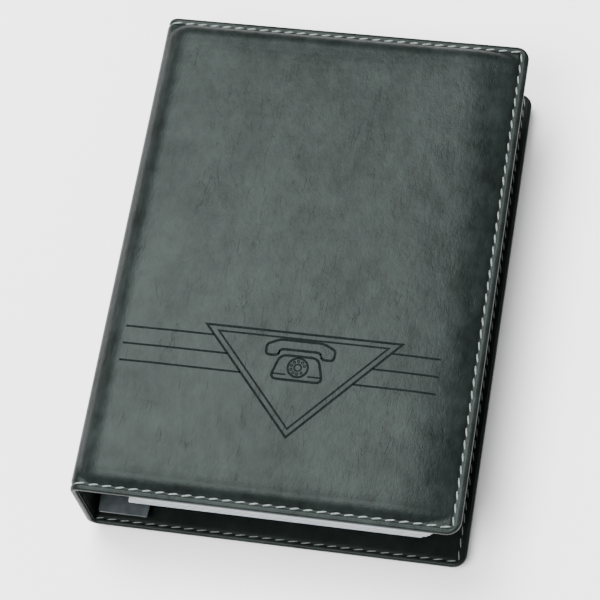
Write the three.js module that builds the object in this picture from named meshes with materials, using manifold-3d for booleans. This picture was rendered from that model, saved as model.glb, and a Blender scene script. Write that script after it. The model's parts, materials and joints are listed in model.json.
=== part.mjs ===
// A ring-bound telephone index: a padded, stitched case with a front and a back cover hinged on a
// flat spine, and a four-ring mechanism that holds index dividers and ruled sheets.
// Millimetres, +Z up. The closed book lies on its back cover: +X runs from the spine to the
// fore-edge, +Y from the tail to the head, and the origin is under the middle of the book.

import * as THREE from 'three';
import { mergeVertices } from 'three/addons/utils/BufferGeometryUtils.js';
import Module from 'manifold-3d';

const wasm = await Module();
wasm.setup();

// ---- Driving dimensions ----

// Case
const CASE_WIDTH = 162; // spine's outer face to fore-edge
const CASE_HEIGHT = 224; // tail to head
const RIM_THICKNESS = 3.4; // the flat stitched border of a cover
const PAD_RISE = 4.2; // how far a cover's padded middle stands above its border
const CREASE_SPACING = 41.4; // between the spine's two folds
const CORNER_RADIUS = 6; // fore-edge corners
const FOLD_GAP = 1.8; // from a fold's axis to the edge of the cover or the spine beside it

// Layers of a cover, measured outwards from the middle of its border
const LINING = { from: -1.7, to: -1.0 };
const BOARD = { from: -0.9, to: 0.7 };
const LINING_INSET = 0.6;
const BOARD_INSET = 4.5;
const BOARD_START = 1; // from the skin's edge at the fold
const BOARD_RADIUS = 3;
const POCKET_GAP = 0.15; // play around a board or a pad in the skin
const FOAM_FLOOR = 0.8;
const FOAM_SHOULDER = 1.2; // where the foam's rounded edge starts
const FOAM_CROWN = 4.8;
const FOAM_INSET = { spine: 3.0, fore: 7.0, ends: 7.0 };
const FOAM_ROUND = 8; // width of the foam's rounded edge
const FOAM_RADIUS = 10;
const DOME_INSET = { spine: 0.8, fore: 5.0, ends: 3.4 };
const DOME_ROUND = 8.5;
const DOME_RADIUS = 12;

// Seams
const SEAM_INSET = { ends: 2.2, fore: 3.8 };
const THREAD_WIDTH = 0.8;
const GROOVE_WIDTH = 1.3;
const GROOVE_DEPTH = 0.5;
const LINING_GROOVE_DEPTH = 0.45;
const THREAD_THICKNESS = 0.35;
const THREAD_SUNK = 0.05; // how far a thread's face lies below the surface it is sewn into
const SEAM_START = 1.2; // from the skin's edge at the fold

// Spine, measured inwards from its outer face or from its ends
const SPINE_SKIN = 2.65;
const SPINE_BOARD = { thickness: 1.6, cover: 1.8 };
const SPINE_SEAM_END = 1.3;
const SPINE_LINING = { gap: 0.05, thickness: 0.7, inset: 0.5 };
const FOLD_WEB = { outside: 1, inside: 0.9, inset: 0.2 }; // the cloth beside a fold's axis

// Ring mechanism, which stands on the back cover's lining
const RING_PITCH = [45, 65, 45]; // the usual four-hole spacing
const PLATE_FROM_SPINE = 16.5; // spine's outer face to the middle of the plate
const PLATE_LENGTH = 198;
const PLATE_HALF_WIDTH = 11.3;
const PLATE_ARC_RADIUS = 16.2;
const PLATE_WALL = 0.9;
const PLATE_FLOOR = 7.8;
const PLATE_CROWN = 15.6;
const RING_FROM_SPINE = 20.2;
const RING_CENTRE_HEIGHT = 29.3;
const RING_RADIUS = 13.7; // to the middle of the wire
const WIRE_RADIUS = 1.2;
const RING_TIP_GAP = 0.3;
const RING_OPENING = 5; // degrees that each half ring turns
const FOOT_ANGLE = 64; // degrees below level where the wire leaves the circle
const LEFT_FOOT_FROM_SPINE = 14.9;
const RIGHT_FOOT_FROM_SPINE = 25.0;
const BLADE_BOTTOM = 9.2;
const BLADE_TOP = 10.0;
const BLADE_LENGTH = 194;
const BLADE_EDGE = { inner: 0.2, outer: 10.2 }; // from the middle of the plate
const BLADE_NOTCH = { half: 3, along: 3.2 }; // round a rivet
const SLOT_HALF = { across: 2.2, along: 1.7 }; // the plate's opening round a wire
const SLOT_SHIFT = { left: -0.4, right: 0.2 }; // towards the side that the wire swings to
const SLOT_BOTTOM = 0.6; // above the blades
const RIVET_Y = 88;
const RIVET_SHANK_RADIUS = 2;
const RIVET_HEAD_RADIUS = 4;
const RIVET_BOTTOM = 5.4;
const RIVET_TOP = 16.6;
const RIVET_PLAY = 0.3;
const RIVET_CROWN = 0.7; // the head's flat top, as a share of its width
const TRIGGER_HALF = 11; // half the width of the finger tab
const TRIGGER_REACH = 9.7; // how far the tab stands out past the plate's end
const TRIGGER_TAB_Z = [13, 14.4];
const TRIGGER_CORNER = 2.5;
const TRIGGER_WEB = { from: 0.3, to: 1.4, narrower: 2 }; // past the plate's end
const TRIGGER_TONGUE = { half: 1.5, reach: 4, bottom: 0.9, top: 0.2 }; // below the blades
const WIRE_FOOT_TOP = 14.2;
const WIRE_FOOT_GAP = 0.2; // between a wire's foot and its blade

// Contents
const SHEET_WIDTH = 125;
const SHEET_HEIGHT = 210;
const HOLE_RADIUS = 3.7;
const HOLE_INSET = 10; // bound edge to the middle of the holes
const DIVIDER_THICKNESS = 0.35;
const BLOCK_THICKNESS = 1.3; // the ruled sheets behind one divider
const OWNER_SHEET_THICKNESS = 0.2;
const SHEET_PLAY = 0.05;
const LOWEST_SHEET = 11.5; // below the middle of the rings
const TAB_WIDTH = 8;
const TAB_HEIGHT = 17;
const TAB_CORNER = 2;
const INDEX_TABS = ['ab', 'cd', 'ef', 'gh', 'ij', 'kl', 'mn', 'op', 'qr', 'st', 'uv', 'wxyz'];

// How finely round forms are divided
const CORNER_SEGMENTS = 4;
const BEAD_SIDES = 16;
const WIRE_SIDES = 8;
const WIRE_STEPS = 18;
const HOLE_SIDES = 8;
const RIVET_HOLE_SIDES = 12;

// ---- Worked-out places ----

const HALF_WIDTH = CASE_WIDTH / 2;
const HALF_HEIGHT = CASE_HEIGHT / 2;
const RIM_HALF = RIM_THICKNESS / 2;
const DOME_CROWN = RIM_HALF + PAD_RISE;
const CREASE_X = -HALF_WIDTH + RIM_HALF;
const COVER_START = CREASE_X + FOLD_GAP;
const REAR_CREASE_Z = DOME_CROWN;
const FRONT_CREASE_Z = REAR_CREASE_Z + CREASE_SPACING;
const PLATE_X = PLATE_FROM_SPINE - HALF_WIDTH;
const RING_X = RING_FROM_SPINE - HALF_WIDTH;
const RING_YS = ringPositions();

function ringPositions() {
  const total = RING_PITCH.reduce((sum, pitch) => sum + pitch, 0);
  const places = [-total / 2];
  for (const pitch of RING_PITCH) {
    places.push(places.at(-1) + pitch);
  }
  return places;
}

// ---- Materials ----

function finish(name, color, roughness, metalness = 0) {
  return new THREE.MeshStandardMaterial({ name, color, roughness, metalness });
}

const LEATHERETTE = finish('leatherette', 0x23282a, 0.5);
const LINING_CLOTH = finish('lining', 0x1b1f1f, 0.7);
const THREAD = finish('thread', 0xa9b5b2, 0.8);
const GREYBOARD = finish('board', 0x8c8474, 0.9);
const FOAM = finish('foam', 0x5c5f60, 0.95);
const STEEL = finish('steel', 0xb9bec0, 0.3, 0.9);
const TRIGGER_STEEL = finish('trigger', 0x84898b, 0.4, 0.8);
const PAPER = finish('paper', 0xeeeeea, 0.85);
const INDEX_CARD = finish('card', 0xd9dcda, 0.75);

// ---- Solids ----

function toSolid(geometry) {
  geometry.deleteAttribute('normal');
  geometry.deleteAttribute('uv');
  const merged = mergeVertices(geometry, 1e-4);
  return new wasm.Manifold(new wasm.Mesh({
    numProp: 3,
    vertProperties: merged.attributes.position.array,
    triVerts: new Uint32Array(merged.index.array),
  }));
}

function toGeometry(solid) {
  const mesh = solid.getMesh();
  const geometry = new THREE.BufferGeometry();
  geometry.setAttribute('position', new THREE.BufferAttribute(mesh.vertProperties, 3));
  geometry.setIndex(new THREE.BufferAttribute(mesh.triVerts, 1));
  geometry.computeVertexNormals();
  return geometry;
}

function box(x, y, z) {
  const geometry = new THREE.BoxGeometry(x[1] - x[0], y[1] - y[0], z[1] - z[0]);
  geometry.translate((x[0] + x[1]) / 2, (y[0] + y[1]) / 2, (z[0] + z[1]) / 2);
  return toSolid(geometry);
}

function extrude(shape, from, to) {
  const geometry = new THREE.ExtrudeGeometry(shape, {
    depth: to - from,
    bevelEnabled: false,
    curveSegments: CORNER_SEGMENTS,
  });
  geometry.translate(0, 0, from);
  return geometry;
}

// A profile drawn in X and Z, extruded along Y between -half and +half.
function extrudeAlongY(shape, half) {
  const geometry = extrude(shape, -half, half);
  geometry.rotateX(Math.PI / 2);
  return geometry;
}

function addMesh(group, name, geometry, material) {
  const mesh = new THREE.Mesh(geometry, material);
  mesh.name = name;
  group.add(mesh);
  return mesh;
}

// ---- Outlines ----

// A rectangle from left to right and from -half to +half, with each side's two corners rounded.
function outline(left, right, half, leftRadius, rightRadius) {
  const quarter = Math.PI / 2;
  const shape = new THREE.Shape();
  shape.moveTo(left + leftRadius, -half);
  shape.lineTo(right - rightRadius, -half);
  shape.absarc(right - rightRadius, -half + rightRadius, rightRadius, -quarter, 0);
  shape.absarc(right - rightRadius, half - rightRadius, rightRadius, 0, quarter);
  if (leftRadius > 0) {
    shape.absarc(left + leftRadius, half - leftRadius, leftRadius, quarter, 2 * quarter);
    shape.absarc(left + leftRadius, -half + leftRadius, leftRadius, 2 * quarter, 3 * quarter);
  } else {
    shape.lineTo(left, half);
  }
  return shape;
}

// A band of the given width that follows the seam: along the tail, the fore-edge and the head.
function seamBand(width) {
  const quarter = Math.PI / 2;
  const out = width / 2;
  const start = COVER_START + SEAM_START;
  const right = HALF_WIDTH - SEAM_INSET.fore;
  const half = HALF_HEIGHT - SEAM_INSET.ends;
  const centreX = right - CORNER_RADIUS;
  const centreY = half - CORNER_RADIUS;
  const outer = CORNER_RADIUS + out;
  const inner = CORNER_RADIUS - out;
  const shape = new THREE.Shape();
  shape.moveTo(start - out, -half - out);
  shape.lineTo(centreX, -half - out);
  shape.absarc(centreX, -centreY, outer, -quarter, 0);
  shape.absarc(centreX, centreY, outer, 0, quarter);
  shape.lineTo(start - out, half + out);
  shape.lineTo(start - out, half - out);
  shape.absarc(centreX, centreY, inner, quarter, 0, true);
  shape.absarc(centreX, -centreY, inner, 0, -quarter, true);
  shape.lineTo(start - out, -half + out);
  return shape;
}

function polygonPoints(radius, sides, y = 0) {
  const points = [];
  for (let i = 0; i < sides; i += 1) {
    const angle = (2 * Math.PI * i) / sides;
    points.push(new THREE.Vector2(radius * Math.cos(angle), y + radius * Math.sin(angle)));
  }
  return points;
}

function polygon(radius, sides) {
  return new THREE.Shape(polygonPoints(radius, sides));
}

// A pillow with a flat crown and a rounded shoulder, kept above its floor.
function pillow(inset, radius, round, floor, shoulder, crown) {
  const shape = outline(
    COVER_START + inset.spine,
    HALF_WIDTH - inset.fore,
    HALF_HEIGHT - inset.ends,
    radius,
    radius,
  );
  const geometry = new THREE.ExtrudeGeometry(shape, {
    depth: 1,
    bevelThickness: crown - shoulder,
    bevelSize: round,
    bevelOffset: -round,
    bevelSegments: CORNER_SEGMENTS,
    curveSegments: CORNER_SEGMENTS,
  });
  geometry.translate(0, 0, shoulder - 1);
  const above = box([-CASE_WIDTH, CASE_WIDTH], [-CASE_HEIGHT, CASE_HEIGHT], [floor, crown + 1]);
  return toSolid(geometry).intersect(above);
}

// ---- Covers, built around the middle plane of their border with the outer face up ----

function boardOutline(play) {
  return outline(
    COVER_START + BOARD_START - play,
    HALF_WIDTH - BOARD_INSET + play,
    HALF_HEIGHT - BOARD_INSET + play,
    0,
    BOARD_RADIUS,
  );
}

function grown(inset, play) {
  return { spine: inset.spine - play, fore: inset.fore - play, ends: inset.ends - play };
}

function coverSkin() {
  const rimShape = outline(COVER_START, HALF_WIDTH, HALF_HEIGHT, 0, CORNER_RADIUS);
  const rim = toSolid(extrude(rimShape, BOARD.from, RIM_HALF));
  const dome = pillow(DOME_INSET, DOME_RADIUS, DOME_ROUND, BOARD.from, RIM_HALF, DOME_CROWN);
  const boardPocket = extrude(boardOutline(POCKET_GAP), BOARD.from - 1, BOARD.to + POCKET_GAP);
  const foamPocket = pillow(
    grown(FOAM_INSET, POCKET_GAP),
    FOAM_RADIUS,
    FOAM_ROUND,
    BOARD.to,
    FOAM_SHOULDER,
    FOAM_CROWN + POCKET_GAP,
  );
  const groove = extrude(seamBand(GROOVE_WIDTH), RIM_HALF - GROOVE_DEPTH, RIM_HALF + 1);
  return rim
    .add(dome)
    .subtract(toSolid(boardPocket))
    .subtract(foamPocket)
    .subtract(toSolid(groove));
}

function coverLining(holes) {
  const shape = outline(
    COVER_START,
    HALF_WIDTH - LINING_INSET,
    HALF_HEIGHT - LINING_INSET,
    0,
    CORNER_RADIUS,
  );
  const sheet = toSolid(extrude(shape, LINING.from, LINING.to));
  const grooveTop = LINING.from + LINING_GROOVE_DEPTH;
  const groove = extrude(seamBand(GROOVE_WIDTH), LINING.from - 1, grooveTop);
  return holes.reduce((solid, hole) => solid.subtract(hole), sheet.subtract(toSolid(groove)));
}

function seamThread(top) {
  return extrude(seamBand(THREAD_WIDTH), top - THREAD_THICKNESS, top);
}

// The six layers of a cover. rivetHoles are cut through the lining and the board.
function buildCover(group, name, rivetHoles) {
  const boardBlank = toSolid(extrude(boardOutline(0), BOARD.from, BOARD.to));
  const board = rivetHoles.reduce((solid, hole) => solid.subtract(hole), boardBlank);
  const foam = pillow(
    FOAM_INSET,
    FOAM_RADIUS,
    FOAM_ROUND,
    FOAM_FLOOR,
    FOAM_SHOULDER,
    FOAM_CROWN,
  );
  addMesh(group, `${name}_board`, toGeometry(board), GREYBOARD);
  addMesh(group, `${name}_pad`, toGeometry(foam), FOAM);
  addMesh(group, `${name}_skin`, toGeometry(coverSkin()), LEATHERETTE);
  addMesh(group, `${name}_lining`, toGeometry(coverLining(rivetHoles)), LINING_CLOTH);
  addMesh(group, `${name}_seam_outer`, seamThread(RIM_HALF - THREAD_SUNK), THREAD);
  addMesh(group, `${name}_seam_inner`, seamThread(LINING.from + THREAD_THICKNESS + THREAD_SUNK), THREAD);
}

// ---- Spine ----

function foldBead(z) {
  const length = CASE_HEIGHT - 2 * FOLD_WEB.inset;
  const bead = new THREE.CylinderGeometry(RIM_HALF, RIM_HALF, length, BEAD_SIDES);
  bead.translate(CREASE_X, 0, z);
  return toSolid(bead);
}

function buildSpine(group) {
  const bottom = REAR_CREASE_Z + FOLD_GAP;
  const top = FRONT_CREASE_Z - FOLD_GAP;
  const skinInner = -HALF_WIDTH + SPINE_SKIN;
  const boardInner = skinInner - SPINE_LINING.gap;
  const boardX = [boardInner - SPINE_BOARD.thickness, boardInner];
  const boardZ = [bottom + SPINE_BOARD.cover, top - SPINE_BOARD.cover];
  const boardHalf = HALF_HEIGHT - BOARD_INSET;
  const seamY = HALF_HEIGHT - SEAM_INSET.ends;
  const seamZ = [bottom + SPINE_SEAM_END, top - SPINE_SEAM_END];

  const slab = box([-HALF_WIDTH, skinInner], [-HALF_HEIGHT, HALF_HEIGHT], [bottom, top]);
  const web = box(
    [CREASE_X - FOLD_WEB.outside, CREASE_X + FOLD_WEB.inside],
    [-HALF_HEIGHT + FOLD_WEB.inset, HALF_HEIGHT - FOLD_WEB.inset],
    [REAR_CREASE_Z, FRONT_CREASE_Z],
  );
  const pocket = box(
    [boardX[0] - POCKET_GAP, skinInner + 1],
    [-boardHalf - POCKET_GAP, boardHalf + POCKET_GAP],
    [boardZ[0] - POCKET_GAP, boardZ[1] + POCKET_GAP],
  );
  let skin = slab
    .add(web)
    .add(foldBead(REAR_CREASE_Z))
    .add(foldBead(FRONT_CREASE_Z))
    .subtract(pocket);
  const grooveX = [-HALF_WIDTH - 1, -HALF_WIDTH + GROOVE_DEPTH];
  const grooveSide = (GROOVE_WIDTH - THREAD_WIDTH) / 2;
  const threadOuter = -HALF_WIDTH + THREAD_SUNK;
  const threadX = [threadOuter, threadOuter + THREAD_THICKNESS];
  for (const [name, side] of [['head', 1], ['tail', -1]]) {
    const y = [side * seamY - THREAD_WIDTH / 2, side * seamY + THREAD_WIDTH / 2];
    const grooveY = [y[0] - grooveSide, y[1] + grooveSide];
    const grooveZ = [seamZ[0] - grooveSide, seamZ[1] + grooveSide];
    skin = skin.subtract(box(grooveX, grooveY, grooveZ));
    addMesh(group, `spine_seam_${name}`, toGeometry(box(threadX, y, seamZ)), THREAD);
  }
  const board = box(boardX, [-boardHalf, boardHalf], boardZ);
  const liningOuter = skinInner + SPINE_LINING.gap;
  const lining = box(
    [liningOuter, liningOuter + SPINE_LINING.thickness],
    [-HALF_HEIGHT + LINING_INSET, HALF_HEIGHT - LINING_INSET],
    [bottom + SPINE_LINING.inset, top - SPINE_LINING.inset],
  );
  addMesh(group, 'spine_skin', toGeometry(skin), LEATHERETTE);
  addMesh(group, 'spine_board', toGeometry(board), GREYBOARD);
  addMesh(group, 'spine_lining', toGeometry(lining), LINING_CLOTH);
}

// ---- Ring mechanism ----

function plateProfile() {
  const centre = PLATE_CROWN - PLATE_ARC_RADIUS;
  const innerHalf = PLATE_HALF_WIDTH - PLATE_WALL;
  const innerRadius = PLATE_ARC_RADIUS - PLATE_WALL;
  const outerAngle = Math.acos(PLATE_HALF_WIDTH / PLATE_ARC_RADIUS);
  const innerAngle = Math.acos(innerHalf / innerRadius);
  const shape = new THREE.Shape();
  shape.moveTo(PLATE_HALF_WIDTH, PLATE_FLOOR);
  shape.lineTo(PLATE_HALF_WIDTH, centre + PLATE_ARC_RADIUS * Math.sin(outerAngle));
  shape.absarc(0, centre, PLATE_ARC_RADIUS, outerAngle, Math.PI - outerAngle);
  shape.lineTo(-PLATE_HALF_WIDTH, PLATE_FLOOR);
  shape.lineTo(-innerHalf, PLATE_FLOOR);
  shape.absarc(0, centre, innerRadius, Math.PI - innerAngle, innerAngle, true);
  shape.lineTo(innerHalf, PLATE_FLOOR);
  return shape;
}

function rod(radius, sides, x, y, from, to) {
  const geometry = extrude(polygon(radius, sides), from, to);
  geometry.translate(x, y, 0);
  return toSolid(geometry);
}

function rivetHole(x, y, from, to) {
  return rod(RIVET_SHANK_RADIUS + RIVET_PLAY, RIVET_HOLE_SIDES, x, y, from, to);
}

function buildPlate(group) {
  let plate = toSolid(extrudeAlongY(plateProfile(), PLATE_LENGTH / 2));
  const slotZ = [BLADE_TOP + SLOT_BOTTOM, PLATE_CROWN + 1];
  const feet = [LEFT_FOOT_FROM_SPINE + SLOT_SHIFT.left, RIGHT_FOOT_FROM_SPINE + SLOT_SHIFT.right];
  for (const y of RING_YS) {
    for (const foot of feet) {
      const x = foot - PLATE_FROM_SPINE;
      const slotX = [x - SLOT_HALF.across, x + SLOT_HALF.across];
      const slotY = [y - SLOT_HALF.along, y + SLOT_HALF.along];
      plate = plate.subtract(box(slotX, slotY, slotZ));
    }
  }
  for (const y of [-RIVET_Y, RIVET_Y]) {
    plate = plate.subtract(rivetHole(0, y, PLATE_FLOOR, PLATE_CROWN + 1));
  }
  const mesh = addMesh(group, 'ring_plate', toGeometry(plate), STEEL);
  mesh.position.x = PLATE_X;
}

function buildBlades(group) {
  for (const [name, side] of [['left', -1], ['right', 1]]) {
    const edges = [side * BLADE_EDGE.inner, side * BLADE_EDGE.outer].sort((a, b) => a - b);
    const half = BLADE_LENGTH / 2;
    let blade = box(edges, [-half, half], [BLADE_BOTTOM, BLADE_TOP]);
    for (const y of [-RIVET_Y, RIVET_Y]) {
      const notchX = [-BLADE_NOTCH.half, BLADE_NOTCH.half];
      const notchY = [y - BLADE_NOTCH.along, y + BLADE_NOTCH.along];
      blade = blade.subtract(box(notchX, notchY, [BLADE_BOTTOM - 1, BLADE_TOP + 1]));
    }
    const mesh = addMesh(group, `${name}_blade`, toGeometry(blade), STEEL);
    mesh.position.x = PLATE_X;
  }
}

// Half a ring: round from its tip beside the top, then down through the plate to its blade.
// Drawn in X and Z about the ring's centre; side is -1 for the left half, 1 for the right.
function halfRing(side) {
  const tip = 90 - THREE.MathUtils.radToDeg(RING_TIP_GAP / 2 / RING_RADIUS);
  const footFromSpine = side < 0 ? LEFT_FOOT_FROM_SPINE : RIGHT_FOOT_FROM_SPINE;
  const footX = footFromSpine - RING_FROM_SPINE;
  const arcSteps = 12;
  const points = [];
  for (let i = 0; i <= arcSteps; i += 1) {
    const angle = THREE.MathUtils.degToRad(tip - ((tip + FOOT_ANGLE) * i) / arcSteps);
    const x = side * RING_RADIUS * Math.cos(angle);
    points.push(new THREE.Vector3(x, 0, RING_RADIUS * Math.sin(angle)));
  }
  const footTop = WIRE_FOOT_TOP - RING_CENTRE_HEIGHT;
  const footEnd = BLADE_TOP + WIRE_FOOT_GAP - RING_CENTRE_HEIGHT;
  points.push(new THREE.Vector3(footX, 0, footTop));
  points.push(new THREE.Vector3(footX, 0, footEnd));
  return new THREE.ExtrudeGeometry(polygon(WIRE_RADIUS, WIRE_SIDES), {
    steps: WIRE_STEPS,
    bevelEnabled: false,
    extrudePath: new THREE.CatmullRomCurve3(points),
  });
}

function buildRings(group) {
  RING_YS.forEach((y, index) => {
    for (const [name, side] of [['left', -1], ['right', 1]]) {
      const ring = toGeometry(toSolid(halfRing(side)));
      const mesh = addMesh(group, `${name}_ring_${index + 1}`, ring, STEEL);
      mesh.position.set(RING_X, y, RING_CENTRE_HEIGHT);
    }
  });
}

// A trigger at the tail: a finger tab outside the plate's end, a web, and a tongue under the blades.
function triggerSolid() {
  const plateEnd = -PLATE_LENGTH / 2;
  const webY = [plateEnd - TRIGGER_WEB.to, plateEnd - TRIGGER_WEB.from];
  const webHalf = TRIGGER_HALF - TRIGGER_WEB.narrower;
  const tongueX = [-TRIGGER_TONGUE.half, TRIGGER_TONGUE.half];
  const tongueZ = [BLADE_BOTTOM - TRIGGER_TONGUE.bottom, BLADE_BOTTOM - TRIGGER_TONGUE.top];
  const tabOutline = outline(0, TRIGGER_REACH, TRIGGER_HALF, 0, TRIGGER_CORNER);
  const tab = extrude(tabOutline, ...TRIGGER_TAB_Z);
  tab.rotateZ(-Math.PI / 2);
  tab.translate(0, webY[1], 0);
  const web = box([-webHalf, webHalf], webY, [tongueZ[0], TRIGGER_TAB_Z[1]]);
  const tongue = box(tongueX, [webY[0], plateEnd + TRIGGER_TONGUE.reach], tongueZ);
  return toSolid(tab).add(web).add(tongue);
}

function buildTriggers(group) {
  for (const [name, turn] of [['tail', 0], ['head', Math.PI]]) {
    const mesh = addMesh(group, `${name}_trigger`, toGeometry(triggerSolid()), TRIGGER_STEEL);
    mesh.position.x = PLATE_X;
    mesh.rotation.z = turn;
  }
}

function buildRivets(group) {
  const headBottom = PLATE_CROWN + 0.1;
  for (const [name, y] of [['tail', -RIVET_Y], ['head', RIVET_Y]]) {
    const profile = [
      [0, RIVET_BOTTOM],
      [RIVET_SHANK_RADIUS, RIVET_BOTTOM],
      [RIVET_SHANK_RADIUS, headBottom],
      [RIVET_HEAD_RADIUS, headBottom],
      [RIVET_HEAD_RADIUS * RIVET_CROWN, RIVET_TOP - 0.2],
      [0, RIVET_TOP],
    ].map(([radius, height]) => new THREE.Vector2(radius, height));
    const lathe = new THREE.LatheGeometry(profile, BEAD_SIDES);
    lathe.rotateX(Math.PI / 2);
    const mesh = addMesh(group, `${name}_rivet`, toGeometry(toSolid(lathe)), STEEL);
    mesh.position.set(PLATE_X, y, 0);
  }
}

// ---- Contents ----

// Where the holes of a sheet sit so that the wire keeps clear of them, closed and open.
// height is that of the sheet's middle, from the middle of the rings.
function holeX(height) {
  const pivotHeight = (BLADE_BOTTOM + BLADE_TOP) / 2;
  const opening = THREE.MathUtils.degToRad(RING_OPENING);
  const swing = (RING_CENTRE_HEIGHT + height - pivotHeight) * Math.sin(opening);
  return RING_X + Math.sqrt(RING_RADIUS ** 2 - height ** 2) + swing / 2;
}

// A sheet drawn about the line of its holes, with a thumb tab at tabY if one is given.
function sheetShape(tabY) {
  const left = -HOLE_INSET;
  const right = SHEET_WIDTH - HOLE_INSET;
  const half = SHEET_HEIGHT / 2;
  const shape = new THREE.Shape();
  shape.moveTo(left, -half);
  shape.lineTo(right, -half);
  if (tabY !== undefined) {
    const corner = TAB_CORNER;
    shape.lineTo(right, tabY - TAB_HEIGHT / 2);
    shape.lineTo(right + TAB_WIDTH - corner, tabY - TAB_HEIGHT / 2);
    shape.lineTo(right + TAB_WIDTH, tabY - TAB_HEIGHT / 2 + corner);
    shape.lineTo(right + TAB_WIDTH, tabY + TAB_HEIGHT / 2 - corner);
    shape.lineTo(right + TAB_WIDTH - corner, tabY + TAB_HEIGHT / 2);
    shape.lineTo(right, tabY + TAB_HEIGHT / 2);
  }
  shape.lineTo(right, half);
  shape.lineTo(left, half);
  for (const y of RING_YS) {
    shape.holes.push(new THREE.Path(polygonPoints(HOLE_RADIUS, HOLE_SIDES, y)));
  }
  return shape;
}

function addSheet(group, name, bottom, thickness, middle, material, tabY) {
  const geometry = toGeometry(toSolid(extrude(sheetShape(tabY), 0, thickness)));
  const mesh = addMesh(group, name, geometry, material);
  mesh.position.set(holeX(middle), 0, RING_CENTRE_HEIGHT + bottom);
}

// Each index divider lies on the ruled sheets that follow it; the owner sheet lies on them all.
function buildContents(group) {
  let bottom = -LOWEST_SHEET;
  const count = INDEX_TABS.length;
  for (let i = count - 1; i >= 0; i -= 1) {
    const letters = INDEX_TABS[i];
    const middle = bottom + (BLOCK_THICKNESS + SHEET_PLAY + DIVIDER_THICKNESS) / 2;
    const tabY = TAB_HEIGHT * ((count - 1) / 2 - i);
    addSheet(group, `sheets_${letters}`, bottom, BLOCK_THICKNESS, middle, PAPER);
    bottom += BLOCK_THICKNESS + SHEET_PLAY;
    addSheet(group, `divider_${letters}`, bottom, DIVIDER_THICKNESS, middle, INDEX_CARD, tabY);
    bottom += DIVIDER_THICKNESS + SHEET_PLAY;
  }
  const middle = bottom + OWNER_SHEET_THICKNESS / 2;
  addSheet(group, 'owner_sheet', bottom, OWNER_SHEET_THICKNESS, middle, PAPER);
}

// ---- Assembly ----

const book = new THREE.Group();

const backCover = new THREE.Group();
backCover.position.z = REAR_CREASE_Z;
backCover.rotation.x = Math.PI;
book.add(backCover);

const frontCover = new THREE.Group();
frontCover.position.z = FRONT_CREASE_Z;
book.add(frontCover);

const rivetHoles = [-RIVET_Y, RIVET_Y].map(
  (y) => rivetHole(PLATE_X, y, -RIM_THICKNESS, RIM_THICKNESS),
);
buildCover(backCover, 'back', rivetHoles);
buildCover(frontCover, 'front', []);
buildSpine(book);
buildPlate(book);
buildBlades(book);
buildRings(book);
buildTriggers(book);
buildRivets(book);
buildContents(book);

export default book;
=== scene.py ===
import json
import math
import random

import bmesh
import bpy
import numpy as np
from mathutils import Matrix, Vector
from mathutils.geometry import tessellate_polygon


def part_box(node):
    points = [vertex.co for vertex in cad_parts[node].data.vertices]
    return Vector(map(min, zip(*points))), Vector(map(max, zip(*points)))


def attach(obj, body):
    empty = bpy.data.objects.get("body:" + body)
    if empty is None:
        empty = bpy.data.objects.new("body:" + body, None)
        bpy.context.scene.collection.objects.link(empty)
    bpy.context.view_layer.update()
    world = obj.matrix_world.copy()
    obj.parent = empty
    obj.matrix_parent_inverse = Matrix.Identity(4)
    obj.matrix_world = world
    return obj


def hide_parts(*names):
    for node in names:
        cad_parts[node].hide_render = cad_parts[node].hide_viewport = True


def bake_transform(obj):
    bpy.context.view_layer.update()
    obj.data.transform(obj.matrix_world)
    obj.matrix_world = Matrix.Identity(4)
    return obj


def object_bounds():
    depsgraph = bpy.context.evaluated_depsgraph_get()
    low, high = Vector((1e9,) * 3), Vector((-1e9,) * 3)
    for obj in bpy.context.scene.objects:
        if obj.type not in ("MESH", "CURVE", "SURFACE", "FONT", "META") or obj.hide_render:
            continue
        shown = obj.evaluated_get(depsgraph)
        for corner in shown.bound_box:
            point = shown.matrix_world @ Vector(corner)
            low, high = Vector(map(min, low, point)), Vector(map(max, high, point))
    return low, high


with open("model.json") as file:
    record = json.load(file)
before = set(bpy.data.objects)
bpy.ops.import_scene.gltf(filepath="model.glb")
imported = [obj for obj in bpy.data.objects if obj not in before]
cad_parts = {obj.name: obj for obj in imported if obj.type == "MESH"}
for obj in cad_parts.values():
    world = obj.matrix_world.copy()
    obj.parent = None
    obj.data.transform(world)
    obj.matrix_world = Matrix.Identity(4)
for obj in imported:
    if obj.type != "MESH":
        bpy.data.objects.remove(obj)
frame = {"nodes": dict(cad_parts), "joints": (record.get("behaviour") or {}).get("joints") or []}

# The looks of a ring-bound telephone index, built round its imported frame. Metres, +Z up.
# A cover is drawn in coordinates of its own: s runs from the middle of the spine, round the fold
# and out to the fore-edge, y from tail to head, and h outwards from the middle of the border.

CAD_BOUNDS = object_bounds()
MM = 0.001
FRONT, BACK = 1, -1
RANDOM = random.Random(11)

# ---- Places and sizes that the frame gives ----

JOINTS = {joint["name"]: joint for joint in frame["joints"]}
CASE_LOW, CASE_HIGH = CAD_BOUNDS
CREASE_X = JOINTS["front_fold"]["pos_m"][0]
CREASE_Z = JOINTS["front_fold"]["pos_m"][2]
MIDDLE_Z = (CREASE_Z + JOINTS["spine_fold"]["pos_m"][2]) / 2
FORE_EDGE = CASE_HIGH.x
HALF_HEIGHT = CASE_HIGH.y
RIM = CREASE_X - CASE_LOW.x
PAD_RISE = CASE_HIGH.z - CREASE_Z - RIM
COVER_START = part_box("front_skin")[0].x

# ---- Sizes of the details ----

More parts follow.
